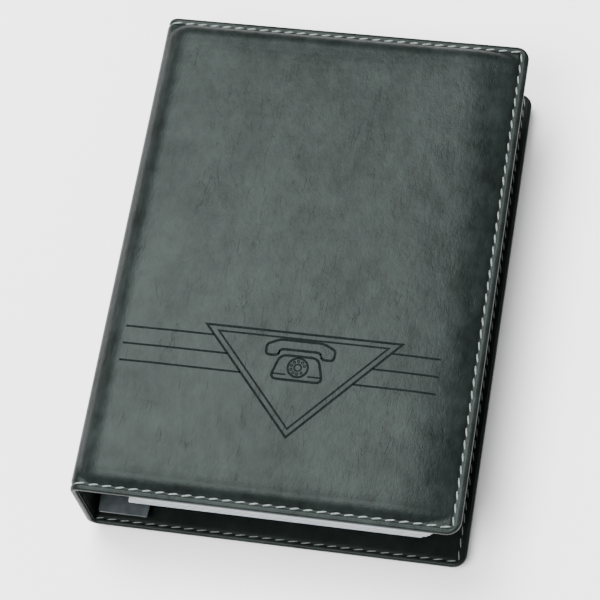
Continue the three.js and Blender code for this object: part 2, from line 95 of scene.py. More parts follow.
CORNER = 6 * MM
FOLD_RADIUS = 3.5 * MM
SPINE_RUN = CREASE_Z - MIDDLE_Z - FOLD_RADIUS
COVER_RUN = SPINE_RUN + FOLD_RADIUS * math.pi / 2
TOP_INSET = 1.0 * MM  # where the top of the border starts to round over
SKIN_FOOT = -1.0 * MM
LINING_TOP = -1.0 * MM
LINING_FOOT = -1.7 * MM
LINING_INSET = 0.9 * MM
SEAM_ENDS = 2.8 * MM
INNER_SEAM_ENDS = 2.1 * MM
SEAM_FORE = 3.3 * MM
SEAM_RADIUS = 1.5 * MM
SEAM_START = -1.2 * MM  # where the seam starts, past the cover's edge at the fold
SPINE_SEAM = (0.4 * MM, 0.6 * MM)  # the spine seam's gap from the middle, and its reach over the fold
GROOVE = {"skin": (0.45 * MM, 0.75 * MM), "lining": (0.3 * MM, 0.7 * MM)}  # depth and half width
DOME_SHARE = 0.97  # the drawn padding keeps this share of the full rise
DOME_SHOULDER = {"spine": 11 * MM, "fore": 26 * MM, "ends": 8.5 * MM}
DOME_INSET = {"spine": 0.0, "fore": 3.6 * MM, "ends": 3.0 * MM}
DOME_CURVE = 2.8
WRINKLE_SHARE = 0.55  # how much of the simulated skin's folds the stiff leatherette keeps
BORDER_DROP = 0.6 * MM  # how far the border curves down from the seam to its edge
STITCH_PITCH = 5.5 * MM
STITCH_LENGTH = 4.1 * MM
STITCH_LEAN = 0.34 * MM
HIDDEN_REACH = 4.5 * MM  # how far a sheet's hidden face runs in from its edge
THREAD = 0.35 * MM
INNER_THREAD = 0.24 * MM


# ---- Meshes ----


def link(name, mesh):
    obj = bpy.data.objects.new(name, mesh)
    bpy.context.scene.collection.objects.link(obj)
    return obj


def new_piece(name, points, faces, places=None, merge=0.0):
    """A smooth mesh object. places, if given, is kept as an attribute for the materials."""
    mesh = bpy.data.meshes.new(name)
    mesh.from_pydata([tuple(p) for p in points], [], [tuple(f) for f in faces])
    if places is not None:
        layer = mesh.attributes.new("place", "FLOAT_VECTOR", "POINT")
        layer.data.foreach_set("vector", np.asarray(places, np.float32).ravel())
    work = bmesh.new()
    work.from_mesh(mesh)
    if merge:
        bmesh.ops.remove_doubles(work, verts=work.verts, dist=merge)
    bmesh.ops.recalc_face_normals(work, faces=work.faces)
    work.to_mesh(mesh)
    work.free()
    mesh.shade_smooth()
    return link(name, mesh)


def bevelled(obj, width, angle=40, segments=2):
    bevel = obj.modifiers.new("bevel", "BEVEL")
    bevel.width = width
    bevel.segments = segments
    bevel.limit_method = "ANGLE"
    bevel.angle_limit = math.radians(angle)
    bevel.harden_normals = True
    return obj


class Parts:
    """Collects points and faces of many small forms that make one mesh."""

    def __init__(self):
        self.points = []
        self.faces = []

    def add(self, points, faces):
        start = len(self.points)
        self.points.extend(tuple(p) for p in points)
        self.faces.extend([start + i for i in face] for face in faces)

    def make(self, name, **settings):
        return new_piece(name, self.points, self.faces, **settings)


def grid_faces(rows, columns):
    return [
        (r * columns + c, r * columns + c + 1, (r + 1) * columns + c + 1, (r + 1) * columns + c)
        for r in range(rows - 1)
        for c in range(columns - 1)
    ]


def tube_faces(rings, sides):
    """Faces of a tube with closed ends."""
    faces = [
        (r * sides + i, r * sides + (i + 1) % sides, (r + 1) * sides + (i + 1) % sides, (r + 1) * sides + i)
        for r in range(rings - 1)
        for i in range(sides)
    ]
    last = (rings - 1) * sides
    return [*faces, list(range(sides))[::-1], [last + i for i in range(sides)]]


def slab(outline, holes, low, high):
    """Points and faces of a flat sheet with holes, between two heights."""
    loops = [outline, *holes]
    flat = [point for loop in loops for point in loop]
    count = len(flat)
    points = [(x, y, low) for x, y in flat] + [(x, y, high) for x, y in flat]
    triangles = tessellate_polygon([[Vector((x, y, 0)) for x, y in loop] for loop in loops])
    faces = [tuple(t) for t in triangles] + [tuple(i + count for i in t) for t in triangles]
    start = 0
    for loop in loops:
        size = len(loop)
        for i in range(size):
            a, b = start + i, start + (i + 1) % size
            faces.append((a, b, b + count, a + count))
        start += size
    return points, faces


def rounded(corners, radius, steps=5):
    """A closed outline whose corners are rounded."""
    result = []
    count = len(corners)
    for i, corner in enumerate(corners):
        here = Vector(corner)
        before = (Vector(corners[i - 1]) - here).normalized() * radius
        after = (Vector(corners[(i + 1) % count]) - here).normalized() * radius
        for k in range(steps + 1):
            t = k / steps
            point = here + before * (1 - t) ** 2 + after * t ** 2
            result.append((point.x, point.y))
    return result


def rectangle(middle, half, start, end):
    """Corners of a rectangle: its middle and half width in x, its start and end in y."""
    return [(middle - half, start), (middle + half, start), (middle + half, end), (middle - half, end)]


def circle(x, y, radius, sides):
    turn = 2 * math.pi / sides
    return [(x + radius * math.cos(turn * i), y + radius * math.sin(turn * i)) for i in range(sides)]


# ---- The case's surface ----


def run_at(x):
    """How far along s a place on a cover is."""
    return COVER_RUN + x - CREASE_X - FOLD_RADIUS


def place(s, y, h, side):
    """Points of the closed book from coordinates of its front or back half."""
    s, y, h = np.broadcast_arrays(np.asarray(s, float), y, h)
    turn = np.clip((s - SPINE_RUN) / FOLD_RADIUS, 0, math.pi / 2)
    x = CREASE_X + FOLD_RADIUS + np.maximum(s - COVER_RUN, 0) - np.cos(turn) * (FOLD_RADIUS + h)
    rise = np.minimum(s, SPINE_RUN) + np.sin(turn) * (FOLD_RADIUS + h)
    return np.stack([x, y, MIDDLE_Z + side * rise], axis=-1)


def seam_distance(s, y, ends):
    """Signed distance to the seam line, negative inside it."""
    across = s - run_at(FORE_EDGE - SEAM_FORE - SEAM_RADIUS)
    along = np.abs(y) - (HALF_HEIGHT - ends - SEAM_RADIUS)
    outside = np.hypot(np.maximum(across, 0), np.maximum(along, 0))
    return outside + np.minimum(np.maximum(across, along), 0) - SEAM_RADIUS


def dome(x, y):
    """Share of the padding's full rise, from 0 at its edge to 1 over its flat middle."""
    left = (x - COVER_START - DOME_INSET["spine"]) / DOME_SHOULDER["spine"]
    right = (FORE_EDGE - DOME_INSET["fore"] - x) / DOME_SHOULDER["fore"]
    ends = (HALF_HEIGHT - DOME_INSET["ends"] - np.abs(y)) / DOME_SHOULDER["ends"]
    across = 1 - np.clip(np.minimum(left, right), 0, 1)
    along = 1 - np.clip(ends, 0, 1)
    return 1 - np.clip(across ** DOME_CURVE + along ** DOME_CURVE, 0, 1)


class Padding:
    """Heights of a cover's padding, on a regular grid over the cover."""

    STEP = 3 * MM
    START_SHARE = 0.9  # of the full rise, before the cloth is blown up
    FLOOR = -2 * MM
    PINNED_BELOW = 0.05 * MM
    DRIFT_LIMIT = 0.4 * MM
    FRAMES = 20

    def __init__(self, simulated):
        self.xs = np.arange(COVER_START, FORE_EDGE + self.STEP, self.STEP)
        self.ys = np.arange(-HALF_HEIGHT, HALF_HEIGHT + self.STEP, self.STEP)
        self.grid_x, self.grid_y = np.meshgrid(self.xs, self.ys)
        self.drift = self.cloth() if simulated else np.zeros_like(self.grid_x)

    def cloth(self):
        """How far a skin blown up over the foam lies from the plain dome."""
        rows, columns = self.grid_x.shape
        start = PAD_RISE * self.START_SHARE * dome(self.grid_x, self.grid_y)
        top = np.stack([self.grid_x, self.grid_y, start], axis=-1).reshape(-1, 3)
        floor = top.copy()
        floor[:, 2] = self.FLOOR
        upper = grid_faces(rows, columns)
        lower = [tuple(i + len(top) for i in reversed(face)) for face in upper]
        obj = new_piece("pad_cloth", np.concatenate([top, floor]), upper + lower + self.walls())
        pins = obj.vertex_groups.new(name="pins")
        held = [i for i in range(len(top)) if top[i, 2] < self.PINNED_BELOW]
        pins.add(held + list(range(len(top), 2 * len(top))), 1.0, "REPLACE")
        self.settle(obj, "pins")
        final = obj.evaluated_get(bpy.context.evaluated_depsgraph_get())
        heights = np.array([v.co.z for v in final.data.vertices][: len(top)]).reshape(rows, columns)
        bpy.data.objects.remove(obj)
        drift = np.clip(heights - start / self.START_SHARE, -self.DRIFT_LIMIT, self.DRIFT_LIMIT)
        share = np.clip(start / (0.5 * PAD_RISE), 0, 1)
        return softened(drift * share * WRINKLE_SHARE)

    def walls(self):
        """Faces that close the pad's four sides."""
        rows, columns = self.grid_x.shape
        count = rows * columns
        edge = list(range(columns))
        edge += [r * columns + columns - 1 for r in range(1, rows)]
        edge += [(rows - 1) * columns + c for c in range(columns - 2, -1, -1)]
        edge += [r * columns for r in range(rows - 2, 0, -1)]
        sides = zip([edge[-1], *edge], edge)
        return [(a, b, b + count, a + count) for a, b in sides]

    def settle(self, obj, pins):
        """Blows the cloth up over the foam."""
        cloth = obj.modifiers.new("cloth", "CLOTH")
        settings = cloth.settings
        settings.vertex_group_mass = pins
        settings.use_pressure = True
        settings.uniform_pressure_force = 4
        settings.shrink_min = -0.004
        settings.tension_stiffness = 25
        settings.compression_stiffness = 25
        settings.bending_stiffness = 2.0
        settings.effector_weights.gravity = 0
        for frame_number in range(1, self.FRAMES + 1):
            bpy.context.scene.frame_set(frame_number)

    def height(self, s, y):
        """The padding's rise over the border at a place of the cover."""
        x = s - run_at(0)
        column = np.clip((x - self.xs[0]) / self.STEP, 0, len(self.xs) - 1.001)
        row = np.clip((y - self.ys[0]) / self.STEP, 0, len(self.ys) - 1.001)
        c, r = column.astype(int), row.astype(int)
        u, v = smooth(column - c), smooth(row - r)
        low = self.drift[r, c] * (1 - u) + self.drift[r, c + 1] * u
        high = self.drift[r + 1, c] * (1 - u) + self.drift[r + 1, c + 1] * u
        return PAD_RISE * DOME_SHARE * dome(x, y) + low * (1 - v) + high * v


def smooth(t):
    return t * t * (3 - 2 * t)


def softened(heights):
    """Heights with their sharpest folds rounded off, as thick padding does."""
    for axis in (0, 1, 0, 1):
        ahead, behind = np.roll(heights, 1, axis), np.roll(heights, -1, axis)
        heights = heights / 2 + (ahead + behind) / 4
    return heights


def border_drop(s, y):
    """The border is pressed thinner outside the seam, so it curves down to its edge."""
    fore = np.clip((s - run_at(FORE_EDGE - SEAM_FORE)) / SEAM_FORE, 0, 1)
    ends = np.clip((np.abs(y) - (HALF_HEIGHT - SEAM_ENDS)) / SEAM_ENDS, 0, 1)
    return BORDER_DROP * np.clip(np.hypot(fore, ends), 0, 1) ** 2


def groove(s, y, ends, sheet):
    """Depth of the groove that a seam has pulled into a sheet."""
    depth, width = GROOVE[sheet]
    return depth * np.exp(-((seam_distance(s, y, ends) / width) ** 2))


def skin_height(s, y, padding):
    """The outer surface: border, padding and the seam's groove."""
    return RIM + padding.height(s, y) - groove(s, y, SEAM_ENDS, "skin") - border_drop(s, y)


def lining_height(s, y):
    return LINING_FOOT + groove(s, y, INNER_SEAM_ENDS, "lining")


class Plan:
    """The outline of half the case and the grid that fills it."""

    ARC_STEPS = 12

    def __init__(self, top_inset):
        self.top_inset = top_inset
        self.corner_run = run_at(FORE_EDGE - CORNER)
        self.corner_y = HALF_HEIGHT - CORNER
        angles = np.linspace(0, math.pi / 2, self.ARC_STEPS + 1)
        reach = CORNER - top_inset
        middle = np.linspace(-self.corner_y, self.corner_y, 213)
        tail = -(self.corner_y + reach * np.sin(angles[:0:-1]))
        self.rows = np.concatenate([tail, middle, -tail[::-1]])
        self.columns = np.concatenate([
            np.linspace(0, SPINE_RUN, 14)[:-1],
            np.linspace(SPINE_RUN, COVER_RUN, 8)[:-1],
            np.linspace(COVER_RUN, self.corner_run, 150)[:-1],
            np.linspace(self.corner_run, self.corner_run + reach, 11),
        ])
        self.angles = angles

    def grid(self):
        """s and y of the grid's points, squeezed into the rounded corners."""
        s, y = np.meshgrid(self.columns, self.rows)
        reach = CORNER - self.top_inset
        beyond = np.clip(np.abs(y) - self.corner_y, 0, reach)
        squeeze = np.sqrt(np.clip(reach ** 2 - beyond ** 2, 0, None)) / reach
        return np.where(s > self.corner_run, self.corner_run + (s - self.corner_run) * squeeze, s), y

    def loop(self, inset):
        """s and y along the outline, from the spine at the tail to the spine at the head."""
        radius = CORNER - inset
        straight = self.columns[self.columns <= self.corner_run + 1e-9]
        arc_s = self.corner_run + radius * np.sin(self.angles[1:])
        arc_y = self.corner_y + radius * np.cos(self.angles[1:])
        side = self.rows[np.abs(self.rows) < self.corner_y - 1e-9]
        s = np.concatenate([straight, arc_s, np.full(len(side), arc_s[-1]), arc_s[::-1], straight[::-1]])
        end = np.full(len(straight), self.corner_y + radius)
        y = np.concatenate([-end, -arc_y, side, arc_y[::-1], end])
        return s, y


def half_case(name, side, plan, surface, profile, foot):
    """A sheet over half the case: its surface, its rounded edge, and its hidden face.

    surface gives h over the grid. profile lists (inset, share) from the surface round to the
    hidden face at foot, where share is how much of the surface's height is left.
    """
    s, y = plan.grid()
    places = [np.stack([s, y, surface(s, y)], axis=-1).reshape(-1, 3)]
    faces = grid_faces(*s.shape)
    start = s.size
    rim_height = surface(*plan.loop(profile[0][0]))
    for index, (inset, share) in enumerate(profile):
        loop_s, loop_y = plan.loop(inset)
        heights = foot + (rim_height - foot) * share
        places.append(np.stack([loop_s, loop_y, heights], axis=-1))
        if index:
            size = len(loop_s)
            first = start + (index - 1) * size
            faces += [(i, i + 1, i + size + 1, i + size) for i in range(first, first + size - 1)]
    size = len(plan.loop(0)[0])
    last = start + (len(profile) - 1) * size
    straight = int(np.sum(plan.columns <= plan.corner_run + 1e-9))
    for i in range(straight - 1):
        faces.append((last + i, last + i + 1, last + size - 2 - i, last + size - 1 - i))
    faces.append([last + i for i in range(straight - 1, size - straight + 1)])
    places = np.concatenate(places)
    points = place(places[:, 0], places[:, 1], places[:, 2], side)
    return new_piece(name, points, faces, places=places, merge=2e-6)


SKIN_PROFILE = [
    (TOP_INSET, 1.0),
    (0.62 * MM, 0.96),
    (0.3 * MM, 0.88),
    (0.1 * MM, 0.76),
    (0.02 * MM, 0.6),
    (0.0, 0.42),
    (0.06 * MM, 0.24),
    (0.3 * MM, 0.07),
    (0.7 * MM, 0.0),
    (HIDDEN_REACH, 0.0),
]
LINING_PROFILE = [
    (LINING_INSET + 0.4 * MM, 1.0),
    (LINING_INSET + 0.12 * MM, 0.85),
    (LINING_INSET, 0.5),
    (LINING_INSET + 0.12 * MM, 0.15),
    (LINING_INSET + 0.4 * MM, 0.0),
    (HIDDEN_REACH, 0.0),
]


def bend_over_fold(obj):
    """Bakes the piece's placement into its mesh; it is not bound to the spine or the cover."""
    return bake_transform(obj)


# ---- Stitches ----


def seam_runs(ends):
    """The straight runs (start, end) of a cover's seam, in s and y."""
    start = run_at(COVER_START) + SEAM_START
    fore = run_at(FORE_EDGE - SEAM_FORE)
    end = HALF_HEIGHT - ends
    return [((start, -end), (fore, -end)), ((fore, -end), (fore, end)), ((fore, end), (start, end))]


def spine_run(end):
    """The part of a seam that runs over half the spine, at one end."""
    y = end * (HALF_HEIGHT - SEAM_ENDS)
    return [((SPINE_SEAM[0], y), (SPINE_RUN + SPINE_SEAM[1], y))]


def stitches(parts, runs, side, height, outwards, thread):
    """Plump two-ply stitches along straight runs, a whole number in each."""
    for start, end in runs:
        start, end = Vector(start), Vector(end)
        count = round((end - start).length / STITCH_PITCH)
        for index in range(count):
            middle = start.lerp(end, (index + 0.5) / count)
            stitch(parts, middle, (end - start).normalized(), side, height, outwards, thread)


def stitch(parts, middle, heading, side, height, outwards, thread):
    """One stitch, that leans a little and dips into its holes."""
    rings, sides = 11, 10
    aside = Vector((-heading.y, heading.x))
    half = STITCH_LENGTH * RANDOM.uniform(0.47, 0.52)
    lean = STITCH_LEAN + RANDOM.uniform(-0.05, 0.05) * MM
    t = np.linspace(-1, 1, rings)
    line_s = middle.x + heading.x * half * t + aside.x * lean * t
    line_y = middle.y + heading.y * half * t + aside.y * lean * t
    around = 2 * math.pi * np.arange(sides) / sides
    plump = np.sqrt(np.clip(1.02 - np.abs(t) ** 3, 0.02, 1))
    lift = 0.9 * thread * (1 - np.abs(t) ** 2.6)
    ply = 1 + 0.1 * np.cos(2 * (around[None, :] - 3.2 * t[:, None]))
    wide = thread * 1.12 * plump[:, None] * ply * np.cos(around)[None, :]
    tall = thread * 0.8 * plump[:, None] * ply * np.sin(around)[None, :]
    h = height(line_s, line_y) + outwards * lift
    points = place(
        line_s[:, None] + aside.x * wide, line_y[:, None] + aside.y * wide, h[:, None] + tall, side
    )
    parts.add(points.reshape(-1, 3), tube_faces(rings, sides))


# ---- The motif pressed into the front cover, drawn as flat ribbons whose dark, dull colour is painted shade of the grooves ----

MOTIF_MIDDLE = (5.5 * MM, -50 * MM)
RIBBON_LIFT = 0.05 * MM
RIBBON_STEP = 1.5 * MM
MITRE_LIMIT = 2.4  # a sharp corner of a line reaches at most this many half widths


def motif_strokes():
    """Lines of the motif as (points, closed, half width), in millimetres about its middle."""
    strokes = [
        ([(-41, 15), (41.5, 15), (0, -31)], True, 0.5),
        ([(-35.5, 12.6), (36, 12.6), (0, -27.3)], True, 0.4),
    ]
    for y, left, right in ((10.5, -37.4, 37.9), (2.8, -30.4, 30.9), (-4.9, -23.4, 23.9)):
        strokes.append(([(-75, y), (left, y)], False, 0.42))
        strokes.append(([(right, y), (58, y)], False, 0.42))
    return strokes + telephone_strokes()


def telephone_strokes():
    """A plain pictogram of a dial telephone."""
    middle_y, dial_y = 2.2, -2.4
    heavy, medium, light = 0.55, 0.45, 0.35
    body = rounded([(-8, 2.6), (8, 2.6), (11, -8.2), (-11, -8.2)], 3)
    half = [(9, 9.4), (14.5, 6.8), (14.2, 2.2), (9.2, 2.2), (8.4, 5.2)]
    mirrored = [(-x, y) for x, y in reversed(half)]
    receiver = rounded([mirrored[-2], mirrored[-1], *half, *mirrored[:-2]], 1.6)
    dial_y = -2.4
    shapes = [(body, True, 0.55), (receiver, True, 0.55), ([(-10, -5.9), (-4.6, -5.9)], False, 0.35)]
    shapes.append(([(4.6, -5.9), (10, -5.9)], False, 0.35))
    shapes.append((circle(0, dial_y, 4.2, 28), True, 0.45))
    shapes.append((circle(0, dial_y, 1.5, 16), True, 0.35))
    for i in range(9):
        turn = math.radians(20 + 36 * i)
        shapes.append((circle(2.85 * math.cos(turn), dial_y + 2.85 * math.sin(turn), 0.5, 8), True, 0.22))
    return [([(x, y + middle_y) for x, y in points], closed, width) for points, closed, width in shapes]


def ribbon(parts, points, closed, half_width, height):
    """A flat line that lies on the cover."""
    corners = [Vector(p) * MM + Vector(MOTIF_MIDDLE) for p in points]
    count = len(corners)
    spans = count if closed else count - 1
    directions = [(corners[(i + 1) % count] - corners[i]).normalized() for i in range(spans)]
    rims = []
    for i, corner in enumerate(corners):
        before = directions[i - 1] if closed or i else directions[0]
        after = directions[i] if i < spans else directions[-1]
        normal = Vector((-before.y - after.y, before.x + after.x)).normalized()
        scale = min(MITRE_LIMIT, 1 / max(0.3, normal.dot(Vector((-after.y, after.x)))))
        rims.append((corner, normal * half_width * MM * scale))
    places = []
    for i in range(spans):
        (start, start_side), (end, end_side) = rims[i], rims[(i + 1) % count]
        steps = max(1, round((end - start).length / RIBBON_STEP))
        for k in range(steps if i < spans - 1 or closed else steps + 1):
            t = k / steps
            here, aside = start.lerp(end, t), start_side.lerp(end_side, t)
            places += [here + aside, here - aside]
    s = np.array([run_at(p.x) for p in places])
    y = np.array([p.y for p in places])
    rows = len(places) // 2
    faces = [(2 * i, 2 * i + 1, 2 * i + 3, 2 * i + 2) for i in range(rows - 1)]
    if closed:
        faces.append((2 * rows - 2, 2 * rows - 1, 1, 0))
    parts.add(place(s, y, height(s, y) + RIBBON_LIFT, FRONT), faces)


def build_motif(padding):
    parts = Parts()
    for points, closed, half_width in motif_strokes():
        ribbon(parts, points, closed, half_width, lambda s, y: skin_height(s, y, padding))
    return parts.make("front_motif")


# ---- Materials ----


def shader(name, **numbers):
    """A material and its Principled node; numbers that are the same all over go straight in."""
    material = bpy.data.materials.new(name)
    material.use_nodes = True
    principled = material.node_tree.nodes["Principled BSDF"]
    for socket, value in numbers.items():
        principled.inputs[socket.replace("_", " ")].default_value = value
    return material, principled


def node(tree, kind, inputs=(), **settings):
    made = tree.nodes.new("ShaderNode" + kind)
    for key, value in settings.items():
        setattr(made, key, value)
    for socket, value in dict(inputs).items():
        if isinstance(value, bpy.types.NodeSocket):
            tree.links.new(value, made.inputs[socket])
        else:
            made.inputs[socket].default_value = value
    return made


def coordinates(tree, scale, attribute=None):
    """Coordinates of the piece at rest, scaled."""
    if attribute:
        source = node(tree, "Attribute", attribute_name=attribute).outputs["Vector"]
    else:
        source = node(tree, "TexCoord").outputs["Object"]
    return node(tree, "Mapping", {"Vector": source, "Scale": scale}).outputs["Vector"]


def noise(tree, scale, attribute=None, detail=3.0, roughness=0.5):
    where = coordinates(tree, scale, attribute)
    made = node(tree, "TexNoise", {"Vector": where, "Scale": 1.0, "Detail": detail, "Roughness": roughness})
    return made.outputs["Fac"]


def color_socket(sockets, name):
    """The socket of that name that carries a colour; a Mix node has one for each kind of value."""
    return next(socket for socket in sockets if socket.name == name and socket.type == "RGBA")


def ramp(tree, factor, stops):
    made = node(tree, "ValToRGB", {"Fac": factor})
    elements = made.color_ramp.elements
    while len(elements) < len(stops):
        elements.new(0.5)
    for element, (position, color) in zip(elements, stops):
        element.position = position
        element.color = (*color, 1)
    return made.outputs["Color"]


def spread(tree, value, low, high):
    """The value, which runs from 0 to 1, put between low and high."""
    return node(tree, "MapRange", {"Value": value, "To Min": low, "To Max": high}).outputs["Result"]


def weigh(tree, value, weight, rest):
    """The value times its weight, on top of the rest."""
    return node(tree, "Math", {0: value, 1: weight, 2: rest}, operation="MULTIPLY_ADD").outputs[0]


def bump(tree, principled, height, strength, distance):
    made = node(tree, "Bump", {"Height": height, "Strength": strength, "Distance": distance})
    tree.links.new(made.outputs["Normal"], principled.inputs["Normal"])


def two_tone(name, dark, light, scale, rough, relief, attribute=None, **numbers):
    """A material that wanders between two colours and two roughnesses, with a fine relief."""
    material, principled = shader(name, **numbers)
    tree = material.node_tree
    wander = noise(tree, scale, attribute)
    tree.links.new(ramp(tree, wander, [(0.3, dark), (0.7, light)]), principled.inputs["Base Color"])
    tree.links.new(spread(tree, wander, *rough), principled.inputs["Roughness"])
    fine_scale, strength, distance = relief
    bump(tree, principled, noise(tree, fine_scale, attribute, 4.0), strength, distance)
    return material


def leatherette(name, dark, light, rough, strength, shine):
    """Leather cloth: blotchy, with a fine grain and short creases that run from tail to head."""
    material, principled = shader(name, Specular_Tint=(0.82, 0.955, 0.90, 1))
    tree = material.node_tree
    cloud = noise(tree, (42, 30, 42), "place", 4.0, 0.6)
    blotch = noise(tree, (190, 120, 190), "place", 4.0, 0.62)
    grain = noise(tree, (900, 420, 900), "place", 4.0, 0.7)
    tone = weigh(tree, cloud, 0.45, weigh(tree, blotch, 0.55, 0.0))
    tree.links.new(ramp(tree, tone, [(0.35, dark), (0.65, light)]), principled.inputs["Base Color"])
    tree.links.new(spread(tree, tone, shine[0], shine[1]), principled.inputs["Specular IOR Level"])
    worn = weigh(tree, grain, 0.5, weigh(tree, blotch, 0.5, 0))
    tree.links.new(spread(tree, worn, *rough), principled.inputs["Roughness"])
    creases = crease_lines(tree)
    relief = weigh(tree, grain, 0.45, weigh(tree, blotch, 0.7, weigh(tree, creases, -0.12, 0)))
    bump(tree, principled, relief, strength, 0.35 * MM)
    return material


def crease_lines(tree):
    """Thin, broken lines, 1 in their middle."""
    wander = noise(tree, (170, 34, 170), "place", 3.0, 0.6)
    away = node(tree, "Math", {0: wander, 1: 0.5}, operation="SUBTRACT").outputs[0]
    away = node(tree, "Math", {0: away}, operation="ABSOLUTE").outputs[0]
    fade = {"Value": away, "From Max": 0.012, "To Min": 1.0, "To Max": 0.0}
    line = node(tree, "MapRange", fade).outputs["Result"]
    broken = noise(tree, (120, 60, 120), "place", 2.0)
    gate = node(tree, "MapRange", {"Value": broken, "From Min": 0.5, "From Max": 0.6}).outputs["Result"]
    return node(tree, "Math", {0: line, 1: gate}, operation="MULTIPLY").outputs[0]


RULE_PITCH = 7 * MM
RULE_SHARE = 0.05


def ruled_paper(name, dark, light, line):
    """Paper with a fine fibre and thin ruled lines on its faces."""
    material, principled = shader(name, Roughness=0.85, Specular_IOR_Level=0.25)
    tree = material.node_tree
    fibre = noise(tree, (900, 900, 5200), detail=4.0)
    color = ramp(tree, fibre, [(0.3, dark), (0.7, light)])
    across = node(tree, "SeparateXYZ", {"Vector": node(tree, "TexCoord").outputs["Object"]}).outputs["Y"]
    turns = node(tree, "Math", {0: across, 1: 1 / RULE_PITCH}, operation="MULTIPLY").outputs[0]
    share = node(tree, "Math", {0: turns}, operation="FRACT").outputs[0]
    ruled = node(tree, "Math", {0: share, 1: RULE_SHARE}, operation="LESS_THAN").outputs[0]
    facing = node(tree, "SeparateXYZ", {"Vector": node(tree, "TexCoord").outputs["Normal"]}).outputs["Z"]
    facing = node(tree, "Math", {0: facing}, operation="ABSOLUTE").outputs[0]
    flat = node(tree, "Math", {0: facing, 1: 0.5}, operation="GREATER_THAN").outputs[0]
    mask = node(tree, "Math", {0: ruled, 1: flat}, operation="MULTIPLY").outputs[0]
    mixed = node(tree, "Mix", data_type="RGBA")
    tree.links.new(mask, mixed.inputs["Factor"])
    tree.links.new(color, color_socket(mixed.inputs, "A"))
    color_socket(mixed.inputs, "B").default_value = (*line, 1)
    tree.links.new(color_socket(mixed.outputs, "Result"), principled.inputs["Base Color"])
    bump(tree, principled, fibre, 0.15, 0.1 * MM)
    return material


def make_materials():
    return {
        "leatherette": leatherette(
            "leatherette", (0.0016, 0.0027, 0.0025), (0.0085, 0.012, 0.0112), (0.27, 0.5), 0.75,
            (0.075, 0.17),
        ),
        "lining": leatherette(
            "lining", (0.0014, 0.0023, 0.002), (0.004, 0.0062, 0.0055), (0.45, 0.65), 0.4,
            (0.05, 0.12),
        ),
        # The motif's darker, duller colour is painted shade of its pressed grooves, since the ribbons lie
        # flat on the cover.
        "motif": two_tone(
            "pressed_line", (0.002, 0.0035, 0.0033), (0.006, 0.009, 0.0085), (900, 300, 900), (0.7, 0.85),
            ((2400, 900, 2400), 0.3, 0.1 * MM), Specular_IOR_Level=0.04,
        ),
        "thread": two_tone(
            "thread", (0.085, 0.1, 0.096), (0.18, 0.203, 0.195), (1600, 1600, 1600), (0.6, 0.8),
            ((5200, 5200, 5200), 0.5, 0.1 * MM), Specular_IOR_Level=0.3,
        ),
        "lining_thread": two_tone(
            "lining_thread", (0.06, 0.073, 0.07), (0.135, 0.157, 0.15), (1600, 1600, 1600), (0.6, 0.8),
            ((5200, 5200, 5200), 0.5, 0.1 * MM), Specular_IOR_Level=0.3,
        ),
        "board": two_tone(
            "greyboard", (0.20, 0.18, 0.14), (0.32, 0.29, 0.23), (260, 260, 900), (0.85, 0.95),
            ((1400, 1400, 2600), 0.4, 0.2 * MM),
        ),
        "foam": two_tone(
            "foam", (0.09, 0.10, 0.10), (0.16, 0.17, 0.17), (700, 700, 700), (0.85, 0.98),
            ((1900, 1900, 1900), 0.8, 0.4 * MM),
        ),
        "plated_steel": two_tone(
            "plated_steel", (0.56, 0.57, 0.58), (0.68, 0.69, 0.70), (220, 40, 220), (0.16, 0.3),
            ((2600, 260, 2600), 0.05, 0.05 * MM), Metallic=1.0,
        ),
        # The trigger's dark grey is partly its own tone and partly painted shade from the cover and sheets
        # above it.
        "trigger_steel": two_tone(
            "trigger_steel", (0.022, 0.028, 0.032), (0.04, 0.048, 0.053), (300, 300, 300), (0.36, 0.5),
            ((2200, 2200, 2200), 0.1, 0.05 * MM), Metallic=0.35,
        ),
        "paper": ruled_paper("paper", (0.40, 0.40, 0.40), (0.53, 0.53, 0.53), (0.20, 0.27, 0.34)),
        "index_card": two_tone(
            "index_card", (0.42, 0.43, 0.425), (0.55, 0.56, 0.555), (500, 500, 3800), (0.6, 0.75),
            ((2600, 2600, 5200), 0.15, 0.1 * MM),
        ),
        "ink": two_tone(
            "ink", (0.012, 0.018, 0.02), (0.025, 0.032, 0.035), (900, 900, 900), (0.5, 0.65),
            ((2600, 2600, 2600), 0.1, 0.05 * MM),
        ),
        "floor": two_tone(
            "floor", (0.93, 0.93, 0.93), (0.96, 0.96, 0.96), (5, 5, 5), (0.75, 0.85),
            ((60, 60, 60), 0.02, 0.2 * MM), Specular_IOR_Level=0.2,
        ),
    }


def dress(obj, slot, body=None, look=None):
    """Gives a piece the material named by its slot, or by look if given, and, if named, hangs it from its
    body.
    """
    obj.data.materials.clear()
    obj.data.materials.append(MATERIALS[look or slot])
    if body:
        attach(obj, body)
    return obj


# ---- Case ----


def build_half(cover, side, padding):
    """One cover with its half of the spine: skin, lining and seams."""
    body = f"{cover}_cover"

    def outside(s, y):
        return skin_height(s, y, padding)

    skin = half_case(f"{body}_skin", side, Plan(TOP_INSET), outside, SKIN_PROFILE, SKIN_FOOT)
    dress(skin, "leatherette")
    bend_over_fold(skin)
    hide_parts(f"{cover}_skin", f"{cover}_pad")

    lining_plan = Plan(LINING_PROFILE[0][0])
    lining = half_case(
        f"{body}_lining", side, lining_plan, lining_height, LINING_PROFILE, LINING_TOP
    )
    dress(lining, "lining")
    bend_over_fold(lining)
    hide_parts(f"{cover}_lining")

    outer, inner = Parts(), Parts()
    stitches(outer, seam_runs(SEAM_ENDS), side, outside, 1, THREAD)
    stitches(inner, seam_runs(INNER_SEAM_ENDS), side, lining_height, -1, INNER_THREAD)
    outer_seam = dress(outer.make(f"{cover}_stitches_outer"), "thread", body)
    inner_seam = dress(inner.make(f"{cover}_stitches_inner"), "lining_thread", body)
    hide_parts(f"{cover}_seam_outer")
    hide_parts(f"{cover}_seam_inner")
    return skin, lining


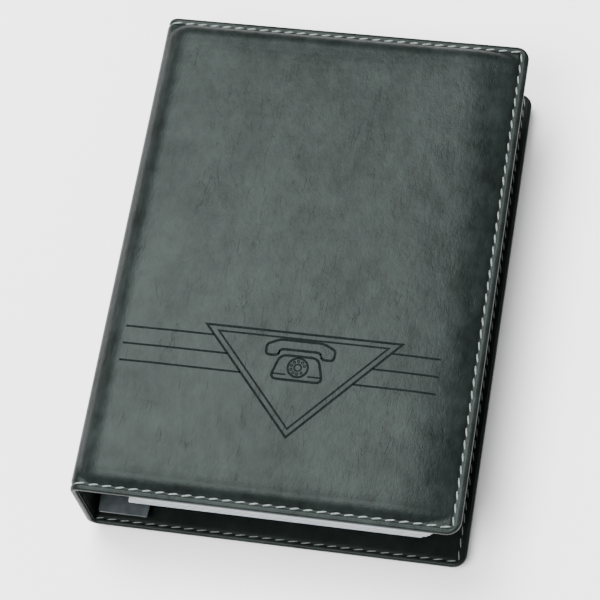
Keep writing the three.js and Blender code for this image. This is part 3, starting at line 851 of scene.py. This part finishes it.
def build_case():
    padding = Padding(simulated=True)

    def outside(s, y):
        return skin_height(s, y, padding)

    front_skin, front_lining = build_half("front", FRONT, padding)
    build_half("back", BACK, padding)
    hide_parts("spine_skin")
    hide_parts("spine_lining")
    for name, end in (("head", 1), ("tail", -1)):
        parts = Parts()
        for side in (FRONT, BACK):
            stitches(parts, spine_run(end), side, outside, 1, THREAD)
        seam = dress(parts.make(f"spine_stitches_{name}"), "thread", "spine")
        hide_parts(f"spine_seam_{name}")
    motif = build_motif(padding)
    dress(motif, "leatherette", "front_cover", look="motif")


# ---- Ring mechanism ----

RINGS = [1, 2, 3, 4]
PLATE_RADIUS = 16.2 * MM
PLATE_SHEET = 0.9 * MM
SLOT_HALF = (2.4 * MM, 1.7 * MM)  # across and along the book
RING_ARC = (89.4, -64)  # degrees, from a half ring's tip to where it leaves its circle
RING_KNEE = 0.6 * MM  # below the arc's end
RING_ANKLE = 2.4 * MM
TIP_SHARE = 0.8  # of the wire's radius
PLATE_EDGE = 0.5 * MM  # below its middle height: where the arch meets the upright edge
RIVET_HEAD = (0.95 * MM, 0.9 * MM)  # below its crown: the head's underside and its rim
RIVET_CROWN = 0.75 * MM
WIRE_SWING = {"left": -0.4 * MM, "right": 0.2 * MM}  # a slot's middle, from the wire's foot
TRIGGER_WEB = 99.3 * MM  # from the book's middle to the bend between tab and web
TAB_SHEET = (1.3 * MM, 0.1 * MM)  # below its box's top: the tab's underside and its top
TAB_TAPER = 0.96
WEB_SHEET = 1.0 * MM
TONGUE = (1.5 * MM, 4.3 * MM, 0.7 * MM)  # half width, reach and thickness


def foot_x(ring):
    """Where a half ring's wire goes down into the plate."""
    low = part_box(ring)[0].z
    vertices = frame["nodes"][ring].data.vertices
    return float(np.mean([v.co.x for v in vertices if v.co.z < low + 0.5 * MM]))


def half_ring(index, side_name, side):
    """A smooth wire: round from the tip, then down to its blade."""
    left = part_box(f"left_ring_{index}")
    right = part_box(f"right_ring_{index}")
    name = f"{side_name}_ring_{index}"
    low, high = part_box(name)
    wire = (high.y - low.y) / 2
    middle_y = (high.y + low.y) / 2
    centre_x = (left[0].x + right[1].x) / 2
    radius = (right[1].x - left[0].x) / 2 - wire
    centre_z = high.z - wire - radius
    foot = foot_x(name)
    angles = np.radians(np.linspace(*RING_ARC, 34))
    line = [(centre_x + side * radius * math.cos(a), centre_z + radius * math.sin(a)) for a in angles]
    end = Vector(line[-1])
    knee = Vector((foot, end.y - RING_KNEE))
    ankle = Vector((foot, end.y - RING_ANKLE))
    for t in (0.25, 0.5, 0.75, 1.0):
        line.append(tuple(end * (1 - t) ** 2 + knee * 2 * t * (1 - t) + ankle * t * t))
    line.append((foot, low.z))
    return wire_points(line, middle_y, wire), name


def wire_points(line, y, wire, sides=16):
    """Rings of points round a line that lies in a plane across the book."""
    line = np.array(line)
    ahead = np.gradient(line, axis=0)
    ahead /= np.linalg.norm(ahead, axis=1)[:, None]
    across = np.stack([-ahead[:, 1], ahead[:, 0]], axis=1)
    radii = np.full(len(line), wire)
    radii[0] = wire * TIP_SHARE
    around = 2 * math.pi * np.arange(sides) / sides
    out = radii[:, None] * np.cos(around)
    x = line[:, 0, None] + across[:, 0, None] * out
    z = line[:, 1, None] + across[:, 1, None] * out
    depth = y + radii[:, None] * np.sin(around)
    return np.stack([x, depth, z], axis=-1)


def build_rings():
    for side_name, side in (("left", -1), ("right", 1)):
        parts = Parts()
        names = []
        for index in RINGS:
            points, name = half_ring(index, side_name, side)
            parts.add(points.reshape(-1, 3), tube_faces(points.shape[0], points.shape[1]))
            names.append(name)
        wires = dress(parts.make(f"{side_name}_wires"), "plated_steel", f"{side_name}_rings")
        bevelled(wires, 0.15 * MM, 60)
        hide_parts(*names)


def build_plate():
    """The arched plate, with a slot round each wire."""
    low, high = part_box("ring_plate")
    middle_x = (low.x + high.x) / 2
    half = (high.x - low.x) / 2
    arc_half = math.asin(half / PLATE_RADIUS)
    profile = [(-half, low.z), (-half, (low.z + high.z) / 2 - PLATE_EDGE)]
    for angle in np.linspace(-arc_half, arc_half, 41):
        rise = high.z - PLATE_RADIUS + PLATE_RADIUS * math.cos(angle)
        profile.append((PLATE_RADIUS * math.sin(angle), rise))
    profile += [(half, profile[1][1]), (half, low.z)]
    slots = []
    for index in RINGS:
        for side_name, swing in WIRE_SWING.items():
            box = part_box(f"{side_name}_ring_{index}")
            foot = foot_x(f"{side_name}_ring_{index}") - middle_x
            slots.append((foot + swing, (box[0].y + box[1].y) / 2))
    across, along = SLOT_HALF
    edges = {y + d for _, y in slots for d in (-along, along)}
    rows = sorted({*edges, *np.linspace(low.y, high.y, 60)})
    points = [(middle_x + x, y, z) for y in rows for x, z in profile]
    faces = []
    for r, c in np.ndindex(len(rows) - 1, len(profile) - 1):
        x = (profile[c][0] + profile[c + 1][0]) / 2
        y = (rows[r] + rows[r + 1]) / 2
        if any(abs(x - slot_x) < across and abs(y - slot_y) < along for slot_x, slot_y in slots):
            continue
        first = r * len(profile) + c
        faces.append((first, first + 1, first + len(profile) + 1, first + len(profile)))
    plate = new_piece("arched_plate", points, faces)
    thickness = plate.modifiers.new("thickness", "SOLIDIFY")
    thickness.thickness = PLATE_SHEET
    thickness.offset = -1
    bevelled(plate, 0.12 * MM, 50)
    dress(plate, "plated_steel", "back_cover")
    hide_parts("ring_plate")


def build_rivets():
    """Two domed rivets that hold the plate to the cover."""
    parts = Parts()
    sides = 32
    underside, rim = RIVET_HEAD
    for name in ("tail_rivet", "head_rivet"):
        low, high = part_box(name)
        middle = (low + high) / 2
        head = (high.x - low.x) / 2
        shank = head / 2
        profile = [(shank, low.z), (shank, high.z - underside), (head, high.z - rim)]
        profile += [
            (head * math.cos(a), high.z - RIVET_CROWN + RIVET_CROWN * math.sin(a))
            for a in np.linspace(0, math.radians(86), 8)
        ]
        rings = [[(middle.x + x, middle.y + y, z) for x, y in circle(0, 0, r, sides)] for r, z in profile]
        parts.add(np.array(rings).reshape(-1, 3), tube_faces(len(rings), sides))
    rivets = dress(parts.make("plate_rivets"), "plated_steel", "back_cover")
    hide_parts("tail_rivet", "head_rivet")


def build_trigger(name, end):
    """A finger tab of bent sheet steel, its web and its tongue under the blades."""
    low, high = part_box(name)
    middle = (low.x + high.x) / 2
    half = (high.x - low.x) / 2
    outer = low.y if end < 0 else high.y
    web = end * TRIGGER_WEB
    tip = half * TAB_TAPER
    tab = [(-half, web), (half, web), (tip, outer), (-tip, outer)]
    parts = Parts()
    outline = [(middle + x, y) for x, y in rounded(tab, 0.9 * MM)]
    under, top = TAB_SHEET
    parts.add(*slab(outline, [], high.z - under, high.z - top))
    wall = rectangle(middle, half - 2 * MM, web - end * WEB_SHEET, web)
    parts.add(*slab(wall, [], low.z, high.z - 0.4 * MM))
    narrow, reach, thickness = TONGUE
    tongue = rectangle(middle, narrow, web, web - end * reach)
    parts.add(*slab(tongue, [], low.z, low.z + thickness))
    trigger = bevelled(parts.make(f"{name}_tab"), 0.3 * MM, 50, 3)
    dress(trigger, "trigger_steel", name)
    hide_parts(name)


# ---- Contents ----

SHEET_HOLE = 3.95 * MM
HOLE_INSET = 10 * MM
LEAVES = 8
LEAF_SHARE = 0.86  # how much of a leaf's pitch is paper
LEAF_DRIFT = (0.15, 0.22)  # how unevenly the leaves lie, across and along, in millimetres
LEAF_SHORT = 0.25 * MM
FORE_RADIUS = 1.2 * MM
FORE_STEPS = 3
LETTER_SIZE = 4.4 * MM
INDEX = {
    "front_sheets": ["ab", "cd", "ef", "gh", "ij", "kl"],
    "back_cover": ["mn", "op", "qr", "st", "uv", "wxyz"],
}


def ring_rows():
    boxes = [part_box(f"left_ring_{index}") for index in RINGS]
    return [(low.y + high.y) / 2 for low, high in boxes]


def add_leaf(parts, low, high, left, right, half, drift=(0, 0), tab=None):
    """A sheet with its holes. tab, if given, is (from, to, reach) of a thumb tab."""
    dx, dy = drift
    bound = left + dx
    corners = [(bound, -half + dy), (right + dx, -half + dy)]
    if tab:
        corners += [(right, tab[0]), (tab[2], tab[0]), (tab[2], tab[1]), (right, tab[1])]
    corners += [(right + dx, half + dy), (bound, half + dy)]
    outline = rounded_fore(corners, bound)
    holes = [circle(left + HOLE_INSET + dx, y, SHEET_HOLE, 20)[::-1] for y in ring_rows()]
    parts.add(*slab(outline, holes, low, high))


def rounded_fore(corners, bound):
    """A sheet's outline, rounded everywhere but at its bound edge."""
    inner = [corner for corner in corners if corner[0] > bound]
    outline = rounded([corners[0], *inner, corners[-1]], FORE_RADIUS, FORE_STEPS)
    arc = FORE_STEPS + 1
    return [corners[0], *outline[arc:-arc], corners[-1]]


def build_block(letters, body):
    name = f"sheets_{letters}"
    low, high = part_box(name)
    pitch = (high.z - low.z) / LEAVES
    parts = Parts()
    for index in range(LEAVES):
        bottom = low.z + index * pitch
        top = bottom + pitch * LEAF_SHARE
        drift = [RANDOM.uniform(-reach, reach) * MM for reach in LEAF_DRIFT]
        add_leaf(parts, bottom, top, low.x, high.x, high.y - LEAF_SHORT, drift)
    block = dress(parts.make(f"leaves_{letters}"), "paper", body)
    block.data.shade_flat()
    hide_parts(name)


def build_divider(letters, body):
    name = f"divider_{letters}"
    low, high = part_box(name)
    sheet_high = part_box(f"sheets_{letters}")[1]
    reach = [v.co for v in frame["nodes"][name].data.vertices if v.co.x > sheet_high.x + 1 * MM]
    tab = (min(v.y for v in reach), max(v.y for v in reach), high.x)
    parts = Parts()
    add_leaf(parts, low.z, high.z, low.x, sheet_high.x, high.y, tab=tab)
    divider = dress(parts.make(f"card_{letters}"), "index_card", body)
    divider.data.shade_flat()
    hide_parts(name)
    return Vector(((sheet_high.x + high.x) / 2 + 0.2 * MM, (tab[0] + tab[1]) / 2, high.z + 0.02 * MM))


def build_letters(letters, where, body):
    """Index letters on a thumb tab."""
    text = bpy.data.curves.new(f"letters_{letters}", "FONT")
    pairs = [letters[:2], letters[2:]] if len(letters) > 2 else [letters]
    text.body = "\n".join(pairs).upper()
    text.size = LETTER_SIZE
    text.align_x = "CENTER"
    text.align_y = "CENTER"
    text.extrude = 0.01 * MM
    curve = bpy.data.objects.new("letters", text)
    mesh = bpy.data.meshes.new_from_object(curve)
    mesh.transform(Matrix.Translation(where))
    bpy.data.objects.remove(curve)
    dress(link(f"letters_{letters}", mesh), "index_card", body, look="ink")


def build_contents():
    for body, names in INDEX.items():
        for letters in names:
            build_block(letters, body)
            build_letters(letters, build_divider(letters, body), body)
    low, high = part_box("owner_sheet")
    parts = Parts()
    add_leaf(parts, low.z, high.z, low.x, high.x, high.y)
    owner = dress(parts.make("owner_leaf"), "paper", "front_sheets")
    owner.data.shade_flat()
    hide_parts("owner_sheet")


# ---- Parts of the frame that show as they are ----

KEPT = {
    "board": ["front_board", "back_board", "spine_board"],
    "plated_steel": ["left_blade", "right_blade"],
}


def dress_frame():
    for slot, names in KEPT.items():
        for name in names:
            obj = frame["nodes"][name]
            obj.data.materials.clear()
            obj.data.materials.append(MATERIALS[slot])
            bevelled(obj, 0.15 * MM)


# ---- Studio ----

CAMERA_AZIMUTH = 23.567
CAMERA_ELEVATION = 64.785
CAMERA_ROLL = -15.538
CAMERA_TARGET = Vector((-0.00781, 0.00128, 0.0042))
CAMERA_DISTANCE = 1.0579
CAMERA_LENS = 144.7
FLOOR_HALF = 6.0
FLOOR_GAP = 0.1 * MM
WORLD_STRENGTH = 0.62


def build_camera():
    az, el, roll = (math.radians(v) for v in (CAMERA_AZIMUTH, CAMERA_ELEVATION, CAMERA_ROLL))
    back = Vector((math.sin(az) * math.cos(el), -math.cos(az) * math.cos(el), math.sin(el)))
    right = Vector((0, 0, 1)).cross(back).normalized()
    up = back.cross(right)
    turned_right = math.cos(roll) * right + math.sin(roll) * up
    turned_up = -math.sin(roll) * right + math.cos(roll) * up
    data = bpy.data.cameras.new("camera")
    data.lens = CAMERA_LENS
    data.sensor_width = 36
    camera = bpy.data.objects.new("camera", data)
    bpy.context.scene.collection.objects.link(camera)
    axes = Matrix((turned_right, turned_up, back)).transposed().to_4x4()
    camera.matrix_world = Matrix.Translation(CAMERA_TARGET + back * CAMERA_DISTANCE) @ axes
    bpy.context.scene.camera = camera


def softbox(name, place_m, target, size, power):
    light = bpy.data.lights.new(name, "AREA")
    light.shape = "RECTANGLE"
    light.size, light.size_y = size
    light.energy = power
    obj = bpy.data.objects.new(name, light)
    bpy.context.scene.collection.objects.link(obj)
    obj.location = place_m
    obj.rotation_euler = (Vector(target) - Vector(place_m)).to_track_quat("-Z", "Y").to_euler()


def build_studio():
    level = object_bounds()[0].z - FLOOR_GAP
    corners = rectangle(0, FLOOR_HALF, -FLOOR_HALF, FLOOR_HALF)
    floor = new_piece("floor", [(x, y, level) for x, y in corners], [(0, 1, 2, 3)])
    dress(floor, None, look="floor")
    softbox("key", (-0.55, 0.6, 1.9), (0, 0, 0), (1.25, 1.25), 107)
    softbox("fill", (-0.45, -0.8, 1.75), (0, 0, 0), (1.1, 0.8), 66)
    world = bpy.data.worlds.new("studio")
    world.use_nodes = True
    world.node_tree.nodes["Background"].inputs["Color"].default_value = (1, 1, 1, 1)
    world.node_tree.nodes["Background"].inputs["Strength"].default_value = WORLD_STRENGTH
    bpy.context.scene.world = world


MATERIALS = make_materials()
build_case()
build_rings()
build_plate()
build_rivets()
build_trigger("tail_trigger", -1)
build_trigger("head_trigger", 1)
build_contents()
dress_frame()
build_studio()
build_camera()
